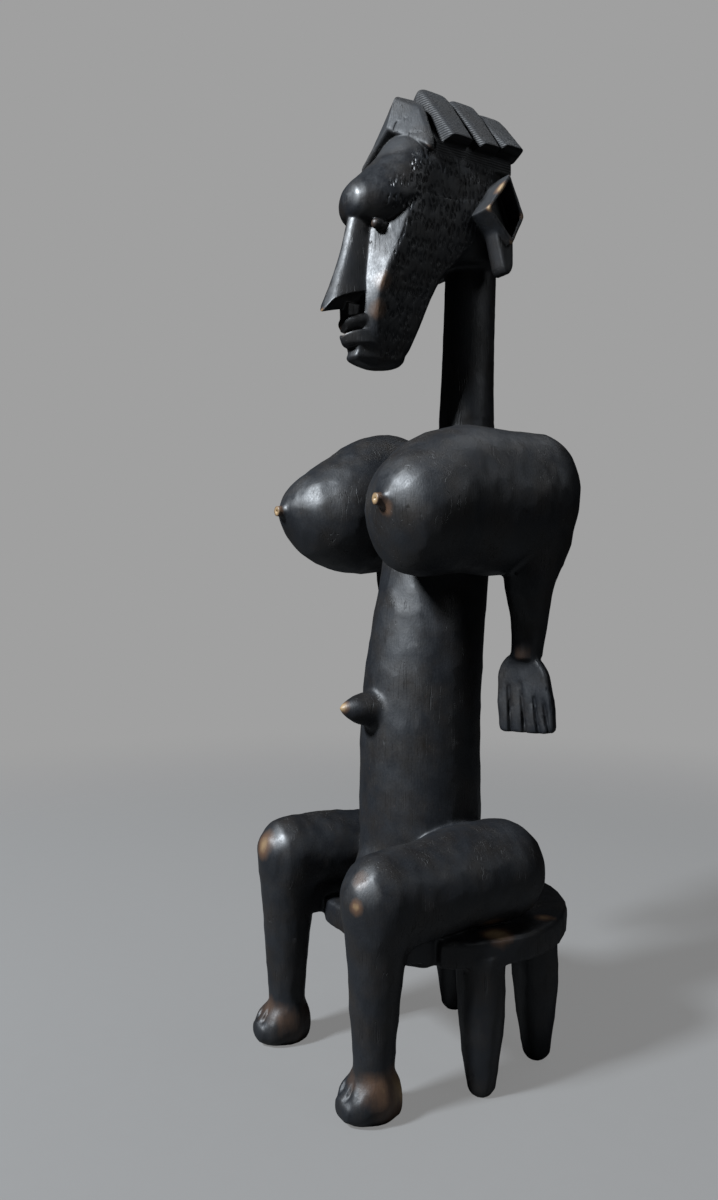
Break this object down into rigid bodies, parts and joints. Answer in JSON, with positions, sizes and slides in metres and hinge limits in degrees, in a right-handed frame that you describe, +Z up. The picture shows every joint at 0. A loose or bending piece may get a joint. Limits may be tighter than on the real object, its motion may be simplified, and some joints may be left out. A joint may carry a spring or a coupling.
{
  "type": "carved wooden seated figure",
  "caption": "Carved wooden figure of a seated woman with a long wedge face, ridged hair and arms at her sides, on a round stool with legs.",
  "frame": {"origin": "on the floor, under the middle of the box around the figure", "axes": "+Z up, -Y the way she faces, +X to her left"},
  "size_m": [0.3505, 0.3519, 1.1561],
  "materials": {
    "blackened_wood": "oiled and blackened, hand-adzed, with a soft sheen"
  },
  "bodies": {
    "root": {"seated_figure": "blackened_wood"}
  },
  "joints": []
}
